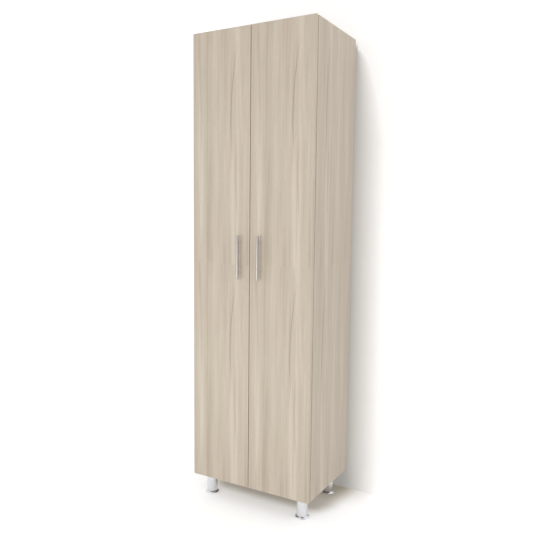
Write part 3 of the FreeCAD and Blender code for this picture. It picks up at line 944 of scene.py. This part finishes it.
# Legs: a chromed tube brazed to a round plate, which four screws hold under the bottom board. A black
# plug is pressed into the tube's lower end.
chrome_tone = (232, 233, 236)
chrome_rough = 0.06
chrome_grain = 30.0
black_tone = (34, 34, 35)
black_rough = 0.5
tube_radius = 25 * mm
tube_wall = 1.5 * mm
plate_radius = 37.9 * mm
plug_radius = 23.4 * mm
plug_hole = 5.1 * mm
seam_rise = 1.6 * mm
tube_soft = 0.3 * mm
seam_soft = 0.4 * mm
plate_soft = 0.5 * mm
plug_soft = 0.6 * mm
leg_screw_circle = 31.5 * mm
leg_screw_radius = 3.6 * mm
leg_screw_rise = 1.2 * mm
tube_low, tube_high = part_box("leg_tubes")
plug_low, plug_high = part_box("leg_plugs")
leg_spots = [
    (x, y)
    for y in (tube_low.y + tube_radius, tube_high.y - tube_radius)
    for x in (tube_low.x + tube_radius, tube_high.x - tube_radius)
]


def ring_profile(inner, outer, low, high, reach):
    """The closed outline of a ring's section, with softened corners."""
    loop = softened([(inner, low), (outer, low), (outer, high), (inner, high)], reach, closed=True)
    return np.concatenate([loop, loop[:1]])


def on_legs(profile, columns=65):
    """A turned piece on each leg's axis, its heights measured from the floor."""
    return turned(profile, [(x, y, 0) for x, y in leg_spots], (0, 0, 1), columns)


chrome = (plated("chrome", chrome_tone, chrome_rough, grain=chrome_grain), "chrome")
black = (plated("black plastic", black_tone, black_rough, metal=0.0), "black_plastic")
tube_profile = ring_profile(tube_radius - tube_wall, tube_radius, tube_low.z, tube_high.z, tube_soft)
add_piece("leg_tubes_drawn", on_legs(tube_profile, 97), chrome, "carcass", "leg_tubes", crease=50)
seam_inside = tube_radius - tube_wall / 2
seam_foot = tube_high.z - seam_rise
seam_corners = [(seam_inside, tube_high.z), (seam_inside, seam_foot), (tube_radius, seam_foot)]
seam_corners += [(tube_radius + seam_rise, tube_high.z), (seam_inside, tube_high.z)]
seam_profile = softened(seam_corners, seam_soft)
add_piece("leg_seams", on_legs(seam_profile), chrome, "carcass", crease=60)
plate_corners = [(0, tube_high.z), (plate_radius, tube_high.z), (plate_radius, bottom_low), (0, bottom_low)]
plate_profile = softened(plate_corners, plate_soft)
add_piece("leg_mounting_plates", on_legs(plate_profile), chrome, "carcass", "leg_plates")
quarter = np.pi / 4 + np.pi / 2 * np.arange(4)
leg_screw_places = [
    (x + leg_screw_circle * over, y + leg_screw_circle * along, tube_high.z)
    for x, y in leg_spots
    for over, along in zip(np.cos(quarter), np.sin(quarter))
]
heads = screw_heads(leg_screw_places, (0, 0, -1), leg_screw_radius, leg_screw_rise)
add_piece("leg_plate_screws", heads, zinc, "carcass")
plugs = on_legs(ring_profile(plug_hole, plug_radius, plug_low.z, plug_high.z, plug_soft))
add_piece("leg_plugs_moulded", plugs, black, "carcass", "leg_plugs")


# Feet: turned discs with a sharp rim and a shoulder under the tube, each on a threaded stud that screws
# up into the plug to level the cupboard.
foot_radius = 32.5 * mm
foot_rim = 6.0 * mm
foot_rise = 11.0 * mm
foot_soft = 0.7 * mm
foot_base = foot_radius - foot_rim / 3
stud_core = 4.5 * mm
thread_rise = 0.45 * mm
thread_pitch = 1.5 * mm
rows_in_pitch = 6
foot_corners = [(0, 0), (foot_base, 0), (foot_radius, foot_rim / 2), (foot_base, foot_rim)]
foot_corners += [(tube_radius, foot_rise), (0, foot_rise)]
foot_profile = softened(foot_corners, foot_soft)


def threaded(place, low, high):
    """A screw thread: at each turn and height the radius is the core plus thread_rise times a triangle
    wave of height / pitch - turn / whole turn. It closes at both ends.
    """
    turn = np.linspace(0, 2 * np.pi, 25)
    height = np.linspace(low, high, int((high - low) / thread_pitch * rows_in_pitch))[:, None]
    phase = (height / thread_pitch - turn / (2 * np.pi)) % 1
    radius = stud_core + thread_rise * (1 - abs(2 * phase - 1))
    radius = np.concatenate([radius[:1] * 0, radius, radius[:1] * 0])
    height = np.concatenate([height[:1], height, height[-1:]]) + turn * 0
    x, y = place
    return np.stack([x + radius * np.cos(turn), y + radius * np.sin(turn), height], axis=-1)


feet = ("foot_front_left", "foot_front_right", "foot_back_left", "foot_back_right")
for spot, name in zip(leg_spots, feet):
    disc = turned(foot_profile, [(spot[0], spot[1], 0)], (0, 0, 1), columns=97)
    add_piece(name + "_disc", disc, chrome, name, name, crease=30)
    stud = [threaded(spot, foot_rise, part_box(name)[1].z)]
    add_piece(name + "_stud", stud, zinc, name)


# The room: white paper on the floor and on a wall 20 mm behind the cupboard. A warm painted shade darkens
# it by place beside and under the body, where the room is closed off. The wall can be seen from its front
# only.
wall_gap = 0.02
room_half_width = 6.0
room_front = -9.0
wall_height = 6.0
floor_lift = 0.33
wall_lift = 0.3
# The painted shade beside the body (corner_) and under it on the floor (under_), and its warm tint.
corner_reach = 0.148
corner_depth = 0.46
corner_top = 0.42
corner_drop = 0.04
corner_round = 0.5
corner_front = 0.2
corner_least = 0.001
paper_white = 0.93
wall_shade_powers = (1.0, 1.05, 1.12)
floor_shade_powers = (1.0, 1.1, 1.28)
under_near = 0.07
under_far = 0.15
under_depth = 0.46
under_slant = 0.45
under_bend = 0.03
under_spread = 0.035
under_edge = 0.025
under_fade = 0.0875
fill = 0.85
key_power = 0.5
low_power = 15.0
wall_y = side_high.y + wall_gap


def flat_sheet(name, corners, material):
    """One flat face between four corners."""
    mesh = bpy.data.meshes.new(name)
    mesh.from_pydata(corners, [], [(0, 1, 2, 3)])
    mesh.materials.append(material)
    add_object(name, mesh)


def beside_body(tree):
    """Painted shade: how bright the paper is painted where the body closes off the room beside it: 1 -
    corner_depth at its edge, rising in proportion to the distance, to 1 at corner_reach. Over a height of
    corner_top, up to corner_drop under the top, the reach shrinks to nothing, as the share of that height
    to the power corner_round. On the floor the painted shade fades out towards the front.
    """
    parts = parts_of(place_of(tree))
    away = less(sum_of("ABSOLUTE", parts[0]), side_high.x)
    below_top = less(side_high.z - corner_drop, parts[2])
    below_top = sum_of("DIVIDE", below_top, corner_top)
    below_top = sum_of("MINIMUM", sum_of("MAXIMUM", below_top, corner_least), 1.0)
    reach = times(sum_of("POWER", below_top, corner_round), corner_reach)
    near = less(1.0, sum_of("DIVIDE", away, reach))
    near = sum_of("MINIMUM", sum_of("MAXIMUM", near, 0.0), 1.0)
    behind = ramp_of(parts[1], wall_y - corner_front, wall_y)
    low = ramp_of(parts[2], side_high.z, side_high.z - corner_drop)
    shade = times(near, times(low, behind))
    return less(1.0, times(shade, corner_depth))


def under_body(tree):
    """Painted shade: how bright the floor is painted under the body: 1 near its front edge, falling smoothly
    to 1 - under_depth further in. At each side the painted shade ends at a line that runs outwards by
    under_slant as far as under_bend.
    """
    parts = parts_of(place_of(tree))
    from_front = less(parts[1], side_low.y)
    from_wall = less(wall_y + under_far, parts[1])
    inside = ramp_of(sum_of("MINIMUM", from_front, from_wall), under_near, under_far)
    slant = times(sum_of("MINIMUM", parts[1], under_bend), under_slant)
    past_side = less(sum_of("ABSOLUTE", parts[0]), side_high.x + under_spread)
    beside = ramp_of(less(past_side, slant), under_edge, -under_fade)
    shade = times(inside, beside)
    return less(1.0, times(shade, under_depth))


def seen_rays(tree):
    """One for rays from the camera, in reflections and through glass, and nothing for all others."""
    rays = tree.nodes.new("ShaderNodeLightPath").outputs
    seen = sum_of("MAXIMUM", rays["Is Camera Ray"], rays["Is Glossy Ray"])
    return sum_of("MAXIMUM", seen, rays["Is Transmission Ray"])


def paper(name, lift, shade_powers, see_through):
    """White paper, which also glows a little for the camera, in reflections and through glass. Painted shade
    darkens it beside the body, and the floor also under it, made warm by the shade_powers. Paper that is
    see_through isn't there at all for other rays, nor from behind.
    """
    material, tree, shader = new_material(name)
    tree.nodes.remove(shader)
    seen = seen_rays(tree)
    # Painted shade beside and under the body, each channel raised to its own power so that it is warm.
    dim = times(beside_body(tree), 1.0 if see_through else under_body(tree))
    warm_painted_shade = {channel: sum_of("POWER", dim, power) for channel, power in enumerate(shade_powers)}
    tint = add_node("ShaderNodeCombineColor", warm_painted_shade).outputs[0]
    pale = mix_of(paper_white, (0.0, 0.0, 0.0, 1.0), tint)
    plain = add_node("ShaderNodeBsdfDiffuse", {"Color": pale})
    glow = add_node("ShaderNodeEmission", {"Color": tint, "Strength": lift})
    lit = add_node("ShaderNodeAddShader", {0: plain.outputs[0], 1: glow.outputs[0]})
    other = plain
    if see_through:
        other = tree.nodes.new("ShaderNodeBsdfTransparent")
        facing = less(1.0, tree.nodes.new("ShaderNodeNewGeometry").outputs["Backfacing"])
        seen = times(seen, facing)
    mixed = add_node("ShaderNodeMixShader", {0: seen, 1: other.outputs[0], 2: lit.outputs[0]})
    set_inputs(tree.nodes["Material Output"], {"Surface": mixed.outputs[0]})
    return material


across_room = (-room_half_width, room_half_width, room_half_width, -room_half_width)
floor_corners = zip(across_room, (room_front, room_front, -room_front, -room_front), (0.0,) * 4)
flat_sheet("floor", list(floor_corners), paper("floor paper", floor_lift, floor_shade_powers, see_through=False))
wall_corners = zip(across_room, (wall_y,) * 4, (0.0, 0.0, wall_height, wall_height))
flat_sheet("wall", list(wall_corners), paper("wall paper", wall_lift, wall_shade_powers, see_through=True))

world = bpy.data.worlds.new("room light")
bpy.context.scene.world = world
world.use_nodes = True
sky = world.node_tree
strength = ramp_of(seen_rays(sky), 0.0, 1.0, fill, 1.0)
set_inputs(sky.nodes["Background"], {"Color": (1.0, 1.0, 1.0, 1.0), "Strength": strength})

# Each row gives a lamp's name, place, size, power and the place that it points at.
lamps = (
    ("key", (-0.25, -4.6, 3.9), 2.2, key_power, (0.0, 0.0, 1.0)),
    ("low_key", (-0.6, -2.9, 0.4), 1.6, low_power, (0.0, 0.0, 0.4)),
)
for name, place, size, power, target in lamps:
    lamp = add_object(name, bpy.data.lights.new(name, "AREA"))
    lamp.data.shape = "DISK"
    lamp.data.size = size
    lamp.data.energy = power
    lamp.location = place
    lamp.rotation_euler = (Vector(target) - Vector(place)).to_track_quat("-Z", "Y").to_euler()


# The camera stands where the photograph was taken from, solved from the cupboard's straight edges. It is
# turned aside, tilted down from looking level, and rolled, in degrees.
camera_place = (1.3559, -2.3683, 1.3212)
camera_turns = ((29.428, "Z"), (90 - 5.849, "X"), (0.652, "Z"))
camera_lens = 39.12
camera_sensor = 36.0
camera = add_object("camera", bpy.data.cameras.new("camera"))
camera.data.lens = camera_lens
camera.data.sensor_width = camera_sensor
stand = Matrix.Translation(camera_place)
for angle, axis in camera_turns:
    stand = stand @ Matrix.Rotation(np.radians(angle), 4, axis)
camera.matrix_world = stand
bpy.context.scene.camera = camera
bpy.context.scene.view_settings.view_transform = "Standard"
